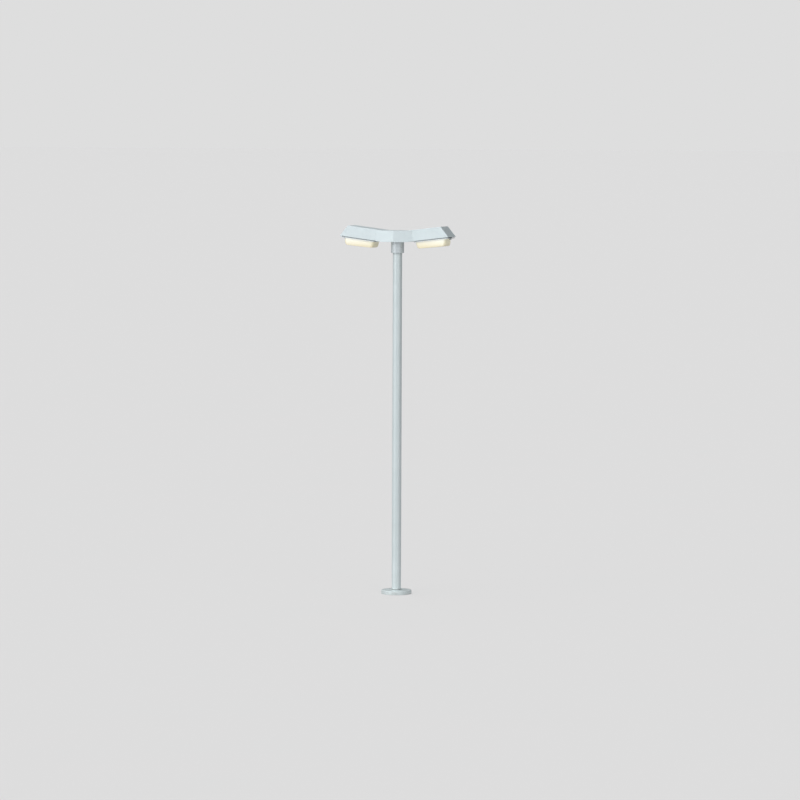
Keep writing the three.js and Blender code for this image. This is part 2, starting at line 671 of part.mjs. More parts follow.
function bowlShell() {
  const flangeTop = rim.top - GAP;
  const outer = loft(bowlRings(0, flangeTop));
  const lip = roundAbout(bowl, 6, flangeTop - 3, flangeTop);
  const inner = bowlRings(bowl.wall, flangeTop);
  const open = inner[inner.length - 1].map(([x, y]) => [x, y, flangeTop + 2]);
  return cut(join(outer, lip), loft([...inner, open]));
}

// A quarter-turn lock: a winged knob under the frame, a shank and a cross wing above the canopy's rim.
function quarterTurn() {
  const knob = rod(13, rim.bottom - 6, rim.bottom - GAP, 24);
  const grip = block(-16, 16, -3.5, 3.5, rim.bottom - 16, rim.bottom - 4);
  const shank = rod(latch.shank, rim.bottom - 2, latch.top, 16);
  const wing = block(-latch.wing, latch.wing, -3.5, 3.5, SKIN + 2, latch.top);
  return placed(join(knob, grip, shank, wing), [latch.x, 0, 0]);
}

// A pressed reflector with sloping sides, open downwards.
function reflector() {
  const section = (x0, x1, y, z) => [[x0, -y, z], [x1, -y, z], [x1, y, z], [x0, y, z]];
  const sheet = 1.5;
  const skin = (inset, low, high) =>
    loft([
      section(142 + inset, 594 - inset, 122 - inset, low),
      section(160 + inset, 582 - inset, 102 - inset, 50),
      section(190 + inset, 560 - inset, 72 - inset, high),
    ]);
  const outer = skin(0, 8, tray.z - 0.5);
  const inner = skin(sheet, 7, tray.z - 0.5 - sheet);
  const holderHole = placed(rod(23, holderStart - 10, holderStart + 50, 24), [0, 0, lampAxis], ALONG_X);
  return cut(outer, inner, holderHole);
}

function lampHolder() {
  const x = holderStart;
  const profile = [[0, 0], [17, 0], [20, 6], [20, 50], [14.5, 50], [14.5, 16], [0, 16]];
  const cup = turned(profile.map(([r, z]) => [r, x + z]), 24);
  const stem = block(x - 6, x + 1, -15, 15, lampAxis - 15, tray.z - GAP);
  return join(placed(cup, [0, 0, lampAxis], ALONG_X), stem);
}

// An ellipsoidal discharge lamp with a screw cap.
function lamp() {
  const x = holderStart;
  const halfLength = 72;
  const r = 36;
  const neck = 14;
  const start = Math.asin(neck / r);
  const centre = x + 128;
  const steps = 8;
  const bulb = Array.from({ length: steps + 1 }, (_, i) => {
    const angle = (Math.PI - start) * (1 - i / steps);
    return [i === steps ? 0 : r * Math.sin(angle), centre + halfLength * Math.cos(angle)];
  });
  const cap = [[0, x + 18], [9, x + 18], [13, x + 24], [13, x + 53], [neck, x + 54]];
  return placed(turned([...cap, ...bulb], 20), [0, 0, lampAxis], ALONG_X);
}

// The tray steps down at its inner end to a foot that stands in the cross arm.
function gearTray() {
  const plate = block(tray.x0, tray.x1, -tray.y, tray.y, tray.z, tray.z + tray.thick);
  const floor = crossArm.floor + GAP;
  const half = tray.footHalf;
  const web = block(tray.x0, tray.x0 + tray.thick, -half, half, floor, tray.z + 1);
  const foot = block(tray.x0 - tray.footLength, tray.x0 + 1, -half, half, floor, floor + tray.thick);
  return join(plate, web, foot);
}

function ballast() {
  const z = tray.z + tray.thick + GAP;
  const core = block(160, 280, -33, 33, z + 3, z + 52);
  const feet = block(150, 290, -24, 24, z, z + 4);
  const windings = block(172, 268, -26, 26, z + 50, z + 60);
  return join(core, feet, windings);
}

// A drawn can with a stud at its outer end, beside the ballast.
function capacitor() {
  const profile = [[0, 0], [19, 0], [20, 2], [20, 96], [18, 100], [6, 100], [6, 106], [0, 106]];
  return placed(turned(profile, 24), [330, 40, 108], ALONG_X);
}

// The lead from the terminal block in the hub to the ballast.
function lampLead() {
  const inHub = [[-136, 15, 102], [-110, 15, 106], [-50, 22, 112]];
  const inCanopy = [[40, 10, 114], [110, 0, 118], [159, 0, 118]];
  return cable([...inHub, ...inCanopy], cableR.lead, 18);
}

function luminaire(group, side) {
  add(group, `${side}_canopy`, canopy(), materials.housingPaint);
  add(group, `${side}_gasket`, gasket(), materials.rubber);
  add(group, `${side}_hinge_bracket`, hingeBracket(), materials.castPaint);
  add(group, `${side}_hinge_pin`, bowlHingePin(), materials.stainless);
  add(group, `${side}_bowl_frame`, bowlFrame(), materials.castPaint);
  add(group, `${side}_bowl`, bowlShell(), materials.opal);
  add(group, `${side}_latch`, quarterTurn(), materials.greyPlastic);
  add(group, `${side}_reflector`, reflector(), materials.aluminium);
  add(group, `${side}_lamp_holder`, lampHolder(), materials.ceramic);
  add(group, `${side}_lamp`, lamp(), materials.glassWhite);
  add(group, `${side}_gear_tray`, gearTray(), materials.galvanised);
  add(group, `${side}_ballast`, ballast(), materials.blackPlastic);
  add(group, `${side}_capacitor`, capacitor(), materials.aluminium);
  add(group, `${side}_lead`, lampLead(), materials.blackPlastic);
}

// ---- Assembly -----------------------------------------------------------------------------------
const lampPost = new THREE.Group();
column(lampPost);
hubGroup(lampPost);

["right", "left"].forEach((side, i) => {
  const turnedArm = new THREE.Group();
  turnedArm.rotation.z = i * Math.PI;
  const tiltedArm = new THREE.Group();
  tiltedArm.position.set(hub.bend, 0, hub.bottom);
  tiltedArm.rotation.y = -TILT;
  turnedArm.add(tiltedArm);
  luminaire(tiltedArm, side);
  lampPost.add(turnedArm);
});

export default lampPost;
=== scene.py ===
import json
import math

import bmesh
import bpy
from mathutils import Matrix, Vector


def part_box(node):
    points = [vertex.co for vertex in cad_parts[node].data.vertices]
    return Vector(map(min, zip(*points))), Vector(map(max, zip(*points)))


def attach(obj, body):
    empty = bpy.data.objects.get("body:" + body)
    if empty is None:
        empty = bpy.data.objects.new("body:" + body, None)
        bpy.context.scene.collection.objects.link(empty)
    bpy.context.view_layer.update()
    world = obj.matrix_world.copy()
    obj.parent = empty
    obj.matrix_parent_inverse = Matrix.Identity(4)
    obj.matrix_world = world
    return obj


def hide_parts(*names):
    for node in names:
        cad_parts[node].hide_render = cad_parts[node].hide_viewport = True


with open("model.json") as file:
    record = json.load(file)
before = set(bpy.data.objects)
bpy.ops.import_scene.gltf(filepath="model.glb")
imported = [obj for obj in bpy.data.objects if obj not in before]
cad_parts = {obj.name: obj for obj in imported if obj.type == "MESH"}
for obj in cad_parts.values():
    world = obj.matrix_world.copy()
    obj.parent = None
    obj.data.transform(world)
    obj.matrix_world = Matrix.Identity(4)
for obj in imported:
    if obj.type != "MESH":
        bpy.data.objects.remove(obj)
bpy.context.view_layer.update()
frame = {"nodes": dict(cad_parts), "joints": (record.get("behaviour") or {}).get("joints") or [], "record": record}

# ---- Driving dimensions: places come from the frame, and sheet and bowl sizes are given here ----
MM = 0.001
JOINTS = {joint["name"]: joint for joint in frame["joints"]}
SHAFT_LOW, SHAFT_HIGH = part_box("column_shaft")
SHAFT_R = SHAFT_HIGH.x
COVER_LOW, COVER_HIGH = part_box("base_cover")
COLLAR_LOW, COLLAR_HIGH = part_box("collar")
WALL = 4 * MM  # tube and base cover
SKIN = 3 * MM  # folded sheet of the head
FOLD = 4 * MM  # how far a fold of that sheet is rounded

# The arm's tilt is read from the latch's axis, which stands square to the canopy's rim.
latch_axis = Vector(JOINTS["right_latch_turn"]["axis"])
TILT = math.atan2(-latch_axis.x, latch_axis.z)
BEND = 185 * MM  # where an arm starts to rise
HUB_BOTTOM = COLLAR_HIGH.z
HEAD_HEIGHT = 162 * MM
RIDGE = 26 * MM  # how far the hub's front and back stand out in the middle
HUB_JOINT = 106 * MM  # end of the hub, along an arm from the bend
ARM_BOTTOM = {"x1": 658 * MM, "y": 151 * MM}  # the canopy's rim
ARM_TOP = {"x1": 555 * MM, "y": 144 * MM}  # the canopy's roof
OPENING = {"x0": 132 * MM, "x1": 604 * MM, "y": 128 * MM, "r": 30 * MM}  # the canopy's mouth
LATCH_SLOT = {"x": 12 * MM, "y": 5.5 * MM, "r": 3 * MM}  # half sizes and corner
BOWL = {"x0": 135 * MM, "x1": 594 * MM, "y": 119 * MM, "r": 42 * MM}
BOWL_TOP = -6.6 * MM  # the lip's top face, from the canopy's rim
BOWL_DEPTH = {"inner": 109 * MM, "outer": 121 * MM}  # at the hub's end and at the far end
BOWL_RUN = {"inner": 38 * MM, "outer": 48 * MM, "side": 16 * MM}  # how far each wall leans in
BOWL_CORNER_STEPS = 10
LAMP_AXIS = 28 * MM  # above the canopy's rim

# ---- Node helpers -------------------------------------------------------------------------------


class Shader:
    """A Principled material with short calls for the procedural nodes that feed it."""

    def __init__(self, name, roughness=0.5, metallic=0.0):
        self.material = bpy.data.materials.new(name)
        self.material.use_nodes = True
        self.tree = self.material.node_tree
        self.bsdf = self.tree.nodes["Principled BSDF"]
        self.bsdf.inputs["Roughness"].default_value = roughness
        self.bsdf.inputs["Metallic"].default_value = metallic
        self.coordinates = self.tree.nodes.new("ShaderNodeTexCoord").outputs
        self.place = self.coordinates["Object"]

    def link(self, value, socket):
        """Joins another node's output to the socket, or writes a plain number or colour to it."""
        if isinstance(value, bpy.types.NodeSocket):
            self.tree.links.new(value, socket)
        elif isinstance(value, (tuple, list)) and len(value) == 3 and socket.type == "RGBA":
            socket.default_value = (*value, 1)
        else:
            socket.default_value = value

    def set(self, name, value):
        self.link(value, self.bsdf.inputs[name])

    def stretched(self, scale):
        node = self.tree.nodes.new("ShaderNodeMapping")
        node.inputs["Scale"].default_value = scale
        self.tree.links.new(self.place, node.inputs["Vector"])
        return node.outputs["Vector"]

    def noise(self, scale, detail=3.0, roughness=0.55, vector=None):
        node = self.tree.nodes.new("ShaderNodeTexNoise")
        self.tree.links.new(vector or self.place, node.inputs["Vector"])
        node.inputs["Scale"].default_value = scale
        node.inputs["Detail"].default_value = detail
        node.inputs["Roughness"].default_value = roughness
        return node.outputs["Fac"]

    def cells(self, scale, feature="F1", output="Distance", vector=None):
        node = self.tree.nodes.new("ShaderNodeTexVoronoi")
        node.feature = feature
        self.tree.links.new(vector or self.place, node.inputs["Vector"])
        node.inputs["Scale"].default_value = scale
        return node.outputs[output]

    def ramp(self, value, low, high, out_low=0.0, out_high=1.0):
        node = self.tree.nodes.new("ShaderNodeMapRange")
        self.link(value, node.inputs["Value"])
        limits = {"From Min": low, "From Max": high, "To Min": out_low, "To Max": out_high}
        for name, number in limits.items():
            node.inputs[name].default_value = number
        return node.outputs["Result"]

    def math(self, operation, a, b=0.0):
        node = self.tree.nodes.new("ShaderNodeMath")
        node.operation = operation
        self.link(a, node.inputs[0])
        self.link(b, node.inputs[1])
        return node.outputs["Value"]

    def mix(self, share, a, b):
        node = self.tree.nodes.new("ShaderNodeMix")
        node.data_type = "RGBA"
        self.link(share, node.inputs["Factor"])
        self.link(a, node.inputs["A"])
        self.link(b, node.inputs["B"])
        return node.outputs["Result"]

    def axis(self, name, vector=None):
        """The X, Y or Z part of a vector, or of the place on the object."""
        node = self.tree.nodes.new("ShaderNodeSeparateXYZ")
        self.tree.links.new(vector or self.place, node.inputs["Vector"])
        return node.outputs[name]

    def bump(self, height, distance, strength, below=None):
        node = self.tree.nodes.new("ShaderNodeBump")
        self.link(height, node.inputs["Height"])
        node.inputs["Distance"].default_value = distance
        node.inputs["Strength"].default_value = strength
        if below is not None:
            self.tree.links.new(below, node.inputs["Normal"])
        self.tree.links.new(node.outputs["Normal"], self.bsdf.inputs["Normal"])
        return node.outputs["Normal"]

    def corners(self, radius):
        """Near 1 in a corner tighter than radius and 0 on an open flat: a mask for painted shade in corners, where
        dust also gathers.
        """
        node = self.tree.nodes.new("ShaderNodeAmbientOcclusion")
        node.samples = 4
        node.inputs["Distance"].default_value = radius
        return self.ramp(node.outputs["AO"], 1.0, 0.45)


def linear(red, green, blue):
    """An sRGB colour of 0 to 255 a channel as the linear values that nodes use."""
    shares = [channel / 255 for channel in (red, green, blue)]
    return tuple(s / 12.92 if s <= 0.04045 else ((s + 0.055) / 1.055) ** 2.4 for s in shares)


# ---- Materials ----------------------------------------------------------------------------------


def powder_coat(name, colour, shade, grime_height=0.0):
    """Satin powder coat: orange peel, a faint mottle, rain streaks, and dust with painted shade in its corners.

    Up to grime_height, splashes of dust from the ground are added.
    """
    s = Shader(name, metallic=0.42)
    mottle = s.ramp(s.noise(3.5, 4), 0.3, 0.7)
    paint = s.mix(mottle, colour, shade)
    streaks = s.noise(1.0, 4, 0.6, s.stretched((38, 38, 1.3)))
    paint = s.mix(s.ramp(streaks, 0.56, 0.78, 0.0, 0.22), paint, tuple(c * 0.82 for c in shade))
    # a dust colour: painted shade in corners, and real dust in the splashes near the ground
    dust_and_shade = linear(166, 163, 152)
    # painted shade: the occlusion mask darkens corners towards the dust colour
    paint = s.mix(s.math("MULTIPLY", s.corners(0.02), 0.3), paint, dust_and_shade)
    if grime_height:
        low = s.ramp(s.axis("Z"), grime_height, 0.0)
        splash = s.math("MULTIPLY", low, s.ramp(s.noise(26, 6, 0.7), 0.35, 0.7))
        paint = s.mix(s.math("MULTIPLY", splash, 0.32), paint, dust_and_shade)
    s.set("Base Color", paint)
    s.set("Roughness", s.ramp(s.noise(14, 4), 0.3, 0.7, 0.38, 0.48))
    s.set("Coat Weight", 0.15)
    s.set("Coat Roughness", 0.2)
    peel = s.bump(s.noise(420, 2, 0.4), 0.00025, 0.35)
    s.bump(s.noise(9, 2), 0.004, 0.08, below=peel)
    return s.material


def cast_paint(name, colour, shade):
    """Metallic satin paint over sand-cast aluminium: a finer grain than sheet, with pits."""
    s = Shader(name, metallic=0.45)
    paint = s.mix(s.ramp(s.noise(8, 5), 0.3, 0.7), colour, shade)
    # painted shade: the occlusion mask darkens corners to a darker grey
    paint = s.mix(s.math("MULTIPLY", s.corners(0.012), 0.35), paint, linear(140, 140, 134))
    s.set("Base Color", paint)
    s.set("Roughness", s.ramp(s.noise(60, 3), 0.3, 0.7, 0.35, 0.46))
    grain = s.bump(s.noise(900, 3, 0.6), 0.0003, 0.35)
    s.bump(s.ramp(s.cells(260), 0.0, 0.25), 0.0002, 0.3, below=grain)
    return s.material


def galvanised(name):
    """Hot-dip zinc: large spangles that differ in tone and gloss, with pale bloom."""
    s = Shader(name, metallic=0.85)
    spangle = s.cells(75, output="Color")
    tone = s.axis("X", spangle)
    zinc = s.mix(tone, linear(146, 152, 156), linear(176, 181, 184))
    bloom = s.ramp(s.noise(22, 5, 0.65), 0.5, 0.75, 0.0, 0.5)
    s.set("Base Color", s.mix(bloom, zinc, linear(190, 193, 192)))
    s.set("Roughness", s.math("ADD", s.math("MULTIPLY", tone, 0.22), 0.36))
    s.bump(s.cells(75, "DISTANCE_TO_EDGE"), 0.0002, 0.25)
    return s.material


def drawn_metal(name, colour, roughness, grain):
    """Turned or drawn bare metal: fine lines along the part, with a few scratches."""
    s = Shader(name, metallic=1.0)
    lines = s.noise(1.0, 3, 0.5, s.stretched(grain))
    s.set("Base Color", s.mix(s.ramp(lines, 0.3, 0.7), colour, tuple(c * 0.8 for c in colour)))
    s.set("Roughness", s.ramp(lines, 0.25, 0.75, roughness * 0.75, roughness * 1.35))
    s.bump(lines, 0.0001, 0.25)
    return s.material


def hammered_aluminium(name):
    """Bright anodised reflector sheet with a stucco grain."""
    s = Shader(name, metallic=1.0)
    dimples = s.cells(150, "SMOOTH_F1")
    s.set("Base Color", s.mix(s.noise(6, 3), linear(200, 202, 203), linear(218, 219, 218)))
    s.set("Roughness", s.ramp(s.noise(40, 3), 0.3, 0.7, 0.16, 0.28))
    s.bump(dimples, 0.0004, 0.35)
    return s.material


def opal_acrylic(name):
    """Warm opal acrylic with a painted glow, though no lamp in it is lit: painted light near-white above, painted
    shade deeper cream below and on its ends.
    """
    s = Shader(name)
    height = s.axis("Z", s.coordinates["Generated"])
    # painted light and shade: near-white at the top, deeper cream towards the foot
    depth = s.ramp(height, 0.9, 0.15)
    cloud = s.ramp(s.noise(7, 3), 0.3, 0.7, -0.06, 0.06)
    lit_and_shaded_cream = s.mix(s.math("ADD", depth, cloud), linear(249, 249, 240), linear(248, 238, 206))
    # painted shade on the ends: faces that look along the bowl turn tan and glow less
    facing_along = s.math("ABSOLUTE", s.axis("X", s.coordinates["Normal"]))
    end = s.ramp(facing_along, 0.15, 0.85)
    s.set("Base Color", s.mix(end, lit_and_shaded_cream, linear(232, 224, 190)))
    # painted glow: the bowl emits light though the lamp inside it is not lit, most strongly at the top
    s.set("Emission Color", lit_and_shaded_cream)
    glow = s.ramp(height, 0.25, 1.0, 0.14, 0.42)
    s.set("Emission Strength", s.math("MULTIPLY", glow, s.ramp(end, 0.0, 1.0, 1.0, 0.75)))
    s.set("Coat Weight", 0.3)
    s.set("Coat Roughness", 0.1)
    s.set("Roughness", s.ramp(s.noise(30, 4), 0.3, 0.7, 0.25, 0.36))
    s.bump(s.noise(12, 2), 0.002, 0.08)
    return s.material


def coated_glass(name):
    """A lamp's glass, milky from the phosphor coat inside it."""
    s = Shader(name, roughness=0.12)
    s.set("Base Color", s.mix(s.noise(30, 4), linear(252, 249, 240), linear(238, 234, 220)))
    s.set("Coat Weight", 0.8)
    s.set("Coat Roughness", 0.03)
    s.bump(s.noise(200, 2), 0.0001, 0.1)
    return s.material


def porcelain(name):
    """Glazed white ceramic with a few dark specks."""
    s = Shader(name, roughness=0.2)
    specks = s.ramp(s.cells(320), 0.0, 0.09, 0.25, 0.0)
    glaze = s.mix(s.noise(20, 3), linear(240, 237, 229), linear(231, 226, 214))
    s.set("Base Color", s.mix(specks, glaze, linear(150, 138, 118)))
    s.set("Coat Weight", 0.5)
    s.bump(s.noise(60, 3), 0.0003, 0.15)
    return s.material


def moulded(name, colour, roughness, grain=700):
    """Moulded plastic or rubber: spark-eroded grain, slight bloom and handling marks."""
    s = Shader(name)
    bloom = s.ramp(s.noise(18, 5, 0.6), 0.4, 0.75, 0.0, 0.35)
    s.set("Base Color", s.mix(bloom, colour, tuple(min(1, c * 1.6 + 0.015) for c in colour)))
    s.set("Roughness", s.ramp(s.noise(45, 4), 0.3, 0.7, roughness - 0.08, roughness + 0.1))
    s.bump(s.noise(grain, 2, 0.5), 0.0002, 0.45)
    return s.material


def laminated_board(name):
    """Resin-bonded board: brown layers at its edges and a woven face."""
    s = Shader(name)
    layers = s.noise(1.0, 2, 0.4, s.stretched((3, 900, 3)))
    weave = s.cells(420, vector=s.stretched((1, 1, 0.55)))
    brown = s.mix(s.ramp(layers, 0.35, 0.65), linear(170, 138, 92), linear(132, 100, 62))
    s.set("Base Color", s.mix(s.ramp(weave, 0.1, 0.6, 0, 0.35), brown, linear(190, 160, 112)))
    s.set("Roughness", s.ramp(weave, 0, 0.6, 0.4, 0.6))
    s.bump(weave, 0.0002, 0.35)
    return s.material


def striped_wire(name):
    """Green insulation with a yellow stripe that winds round it."""
    s = Shader(name, roughness=0.45)
    wave = s.tree.nodes.new("ShaderNodeTexWave")
    wave.bands_direction = "DIAGONAL"
    wave.inputs["Scale"].default_value = 28
    s.tree.links.new(s.place, wave.inputs["Vector"])
    stripe = s.ramp(wave.outputs["Fac"], 0.55, 0.62)
    green = s.mix(s.noise(90, 3), linear(52, 132, 56), linear(70, 150, 66))
    s.set("Base Color", s.mix(stripe, green, linear(226, 200, 62)))
    s.bump(s.noise(500, 2), 0.0001, 0.3)
    return s.material


def floor_paint(name):
    """A plain pale floor: the camera sees an even glow, and the post is lit by a weaker one."""
    s = Shader(name, roughness=0.9)
    grey = s.mix(s.noise(0.6, 2), linear(222, 222, 222), linear(223, 222, 222))
    s.set("Base Color", s.mix(0.75, grey, linear(60, 60, 60)))
    s.set("Emission Color", grey)
    away = s.tree.nodes.new("ShaderNodeVectorMath")
    away.operation = "LENGTH"
    s.tree.links.new(s.place, away.inputs[0])
    pool = s.ramp(away.outputs["Value"], 0.4, 2.5, 0.5, 0.3)
    seen = s.tree.nodes.new("ShaderNodeLightPath").outputs["Is Camera Ray"]
    s.set("Emission Strength", s.math("MAXIMUM", pool, s.math("MULTIPLY", seen, 0.68)))
    s.set("Specular IOR Level", 0.0)
    return s.material


SLOTS = {
    "column_paint": powder_coat("column_paint", linear(221, 231, 233), linear(215, 226, 228),
                                grime_height=0.35),
    "housing_paint": powder_coat("housing_paint", linear(214, 224, 227), linear(208, 219, 222)),
    "cast_paint": cast_paint("cast_paint", linear(222, 229, 232), linear(212, 220, 224)),
    "galvanised_steel": galvanised("galvanised_steel"),
    "stainless": drawn_metal("stainless", linear(196, 199, 201), 0.3, (900, 900, 40)),
    "brass": drawn_metal("brass", linear(200, 166, 98), 0.32, (700, 700, 60)),
    "aluminium_can": drawn_metal("aluminium_can", linear(205, 207, 208), 0.35, (40, 900, 900)),
    "polished_aluminium": hammered_aluminium("polished_aluminium"),
    "opal_bowl": opal_acrylic("opal_bowl"),
    "lamp_glass": coated_glass("lamp_glass"),
    "ceramic": porcelain("ceramic"),
    "rubber": moulded("rubber", linear(84, 88, 90), 0.72, 500),
    "black_plastic": moulded("black_plastic", linear(34, 36, 37), 0.45),
    "grey_plastic": moulded("grey_plastic", linear(140, 145, 148), 0.5),
    "board": laminated_board("board"),
    "earth_green": striped_wire("earth_green"),
}

# ---- Mesh helpers -------------------------------------------------------------------------------

# Each arm's own frame: its origin is at the bend, X runs along the rim and Z stands square to it.
ARM = {"right": Matrix.Translation((BEND, 0, HUB_BOTTOM)) @ Matrix.Rotation(-TILT, 4, "Y")}
ARM["left"] = Matrix.Rotation(math.pi, 4, "Z") @ ARM["right"]
UPRIGHT = Matrix.Identity(4)


def body_of_node(node):
    """The CAD body that a node belongs to."""
    for body, members in frame["record"]["behaviour"]["bodies"].items():
        if node in members:
            return body
    raise ValueError(node)


def slot_of_node(node):
    """The material slot that a node has in the record."""
    return next(row["material_slot"] for row in frame["record"]["subparts"] if row["node"] == node)


def flat_faces_stay_flat(obj):
    """Shades by the larger faces, so that only the eased edges between them look round."""
    normals = obj.modifiers.new("normals", "WEIGHTED_NORMAL")
    normals.keep_sharp = True
    normals.weight = 100


def piece(name, bm, node, place=UPRIGHT, sharp=35):
    """Adds a finished mesh that stands for one CAD node, with that node's body and material slot.

    Edges over the sharp angle, in degrees, are shaded sharp.
    """
    bmesh.ops.remove_doubles(bm, verts=bm.verts, dist=1e-6)
    bmesh.ops.recalc_face_normals(bm, faces=bm.faces)
    bm.transform(place)
    mesh = bpy.data.meshes.new(name)
    bm.to_mesh(mesh)
    bm.free()
    for polygon in mesh.polygons:
        polygon.use_smooth = True
    mesh.set_sharp_from_angle(angle=math.radians(sharp))
    obj = bpy.data.objects.new(name, mesh)
    bpy.context.scene.collection.objects.link(obj)
    mesh.materials.append(SLOTS[slot_of_node(node)])
    flat_faces_stay_flat(obj)
    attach(obj, body_of_node(node))
    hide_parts(node)


def fillet(outline, radius, steps=4):
    """A closed outline of (x, y) or (x, y, own radius) points with each corner rounded.

    The curve leaves and meets the sides where an arc of that radius would. A straight corner stays.
    """
    made = []
    count = len(outline)
    least_angle = 0.01
    most_of_side = 0.49
    for i, corner in enumerate(outline):
        here = Vector(corner[:2])
        r = corner[2] if len(corner) > 2 else radius
        before = Vector(outline[i - 1][:2]) - here
        after = Vector(outline[(i + 1) % count][:2]) - here
        half = before.angle(after) / 2
        reach = min(before.length, after.length) * most_of_side
        reach = min(r / math.tan(half), reach) if half > least_angle else 0
        if reach < 1e-6 or abs(half - math.pi / 2) < least_angle:
            made.append(here)
            continue
        start = here + before.normalized() * reach
        end = here + after.normalized() * reach
        for step in range(steps + 1):
            t = step / steps
            made.append(start.lerp(here, t).lerp(here.lerp(end, t), t))
    return made


def lathe(outline, radius, segments=128, steps=4):
    """A closed outline of (radius, height) points with rounded corners, turned about Z."""
    profile = fillet(outline, radius, steps)
    bm = bmesh.new()
    rings = []
    for i in range(segments):
        angle = 2 * math.pi * i / segments
        along, across = math.cos(angle), math.sin(angle)
        rings.append([bm.verts.new((p.x * along, p.x * across, p.y)) for p in profile])
    for i, ring in enumerate(rings):
        other = rings[(i + 1) % segments]
        for j, vertex in enumerate(ring):
            k = (j + 1) % len(ring)
            bm.faces.new((vertex, other[j], other[k], ring[k]))
    bmesh.ops.remove_doubles(bm, verts=bm.verts, dist=1e-7)
    bmesh.ops.dissolve_degenerate(bm, edges=bm.edges, dist=1e-7)
    return bm


def rounded_rectangle(x0, x1, y, r, steps=8):
    """Points round a rectangle with round corners, counter-clockwise from its +X +Y corner."""
    centres = [(x1 - r, y - r), (x0 + r, y - r), (x0 + r, r - y), (x1 - r, r - y)]
    points = []
    for corner, (cx, cy) in enumerate(centres):
        for i in range(steps + 1):
            angle = (corner + i / steps) * math.pi / 2
            points.append((cx + r * math.cos(angle), cy + r * math.sin(angle)))
    return points


def skin(rings):
    """Quads between rings of points, in order, with the first and the last ring filled."""
    bm = bmesh.new()
    made = [[bm.verts.new(point) for point in ring] for ring in rings]
    for a, b in zip(made, made[1:]):
        for i in range(len(a)):
            j = (i + 1) % len(a)
            bm.faces.new((a[i], a[j], b[j], b[i]))
    bmesh.ops.holes_fill(bm, edges=bm.edges)
    return bm


def applied(bm, *modifiers):
    """The mesh after the given modifiers: each is (type, settings)."""
    mesh = bpy.data.meshes.new("working")
    bm.to_mesh(mesh)
    bm.free()
    obj = bpy.data.objects.new("working", mesh)
    bpy.context.scene.collection.objects.link(obj)
    for kind, settings in modifiers:
        modifier = obj.modifiers.new(kind.lower(), kind)
        for key, value in settings.items():
            setattr(modifier, key, value)
    result = bmesh.new()
    result.from_object(obj, bpy.context.evaluated_depsgraph_get())
    bpy.data.objects.remove(obj)
    bpy.data.meshes.remove(mesh)
    return result


def carved(bm, cutters, edge=0.0):
    """bm with closed solids cut out of it, and then its edges over 40 degrees eased."""
    tools = []
    for i, cutter in enumerate(cutters):
        mesh = bpy.data.meshes.new(f"cutter_{i}")
        bmesh.ops.recalc_face_normals(cutter, faces=cutter.faces)
        cutter.to_mesh(mesh)
        cutter.free()
        tool = bpy.data.objects.new(f"cutter_{i}", mesh)
        bpy.context.scene.collection.objects.link(tool)
        tools.append(tool)
    steps = [("BOOLEAN", {"operation": "DIFFERENCE", "solver": "EXACT", "object": tool}) for tool in tools]
    bmesh.ops.recalc_face_normals(bm, faces=bm.faces)
    if edge:
        steps.append(("BEVEL", {"width": edge, "segments": 2, "limit_method": "ANGLE",
                                "angle_limit": math.radians(40), "use_clamp_overlap": True}))
    result = applied(bm, *steps)
    for tool in tools:
        mesh = tool.data
        bpy.data.objects.remove(tool)
        bpy.data.meshes.remove(mesh)
    return result


def prism(points, low, high):
    """A closed prism over a flat ring of points."""
    return skin([[(x, y, z) for x, y in points] for z in (low, high)])


def rod(r, low, high, segments=32):
    """A plain closed rod along Z, used only as a cutter."""
    angles = [2 * math.pi * i / segments for i in range(segments)]
    return prism([(r * math.cos(angle), r * math.sin(angle)) for angle in angles], low, high)


# ---- Column -------------------------------------------------------------------------------------


def door_cutter():
    """A block that cuts the door opening: the CAD door panel's height and its gap, from the axis out."""
    low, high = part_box("door_panel")
    gap = 2 * MM
    half_width = 41 * MM
    half_height = (high.z - low.z) / 2 + gap
    corner = 20 * MM
    corner_steps = 10
    outside = 90 * MM
    middle = (low.z + high.z) / 2
    outline = rounded_rectangle(-half_width, half_width, half_height, corner, corner_steps)
    return skin([[(x, y, z + middle) for x, z in outline] for y in (0, outside)])


def build_shaft():
    low, high = SHAFT_LOW.z, SHAFT_HIGH.z
    bore = SHAFT_R - WALL
    tube = lathe([(bore, low), (SHAFT_R, low), (SHAFT_R, high), (bore, high)], 0.8 * MM)
    piece("column_tube", carved(tube, [door_cutter()], 0.5 * MM), "column_shaft")


def build_base_cover():
    """A dish turned upside down, with a rounded rim and a hole for the column."""
    rim, foot = COVER_HIGH.x, COVER_LOW.z
    top = COVER_HIGH.z
    shoulder = top - 6 * MM
    hole = 70 * MM
    edge = 10 * MM
    cover = lathe([
        (rim, foot, 1.2 * MM),
        (rim, shoulder, edge),
        (hole, top, 1.5 * MM),
        (hole, top - WALL, 0.4 * MM),
        (rim - WALL, shoulder - WALL, edge - WALL),
        (rim - WALL, foot, 0.4 * MM),
    ], 1 * MM, 192, 6)
    piece("base_cover_dish", cover, "base_cover")


def build_base_seal():
    """A rubber ring round the column on top of the cover, sloped so that rain runs off."""
    low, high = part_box("base_cover_seal")
    bore = 67 * MM
    lip = bore + 2 * MM
    foot = 1 * MM
    seal = lathe([
        (bore, low.z),
        (high.x, low.z),
        (high.x, low.z + foot),
        (lip, high.z),
        (bore, high.z),
    ], 0.35 * MM)
    piece("base_seal_ring", seal, "base_cover_seal")


def set_screw_hole(number, outer):
    """A rod that cuts one set screw's hole through the collar's skirt."""
    low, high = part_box(f"set_screw_{number}")
    centre = (low + high) / 2
    angle = math.atan2(centre.y, centre.x)
    hole_r = 5.6 * MM
    inside, outside = outer - 20 * MM, outer + 5 * MM
    hole = rod(hole_r, inside, outside)
    lying = Matrix.Rotation(math.pi / 2, 4, "Y")
    hole.transform(Matrix.Translation((0, 0, centre.z)) @ Matrix.Rotation(angle, 4, "Z") @ lying)
    return hole


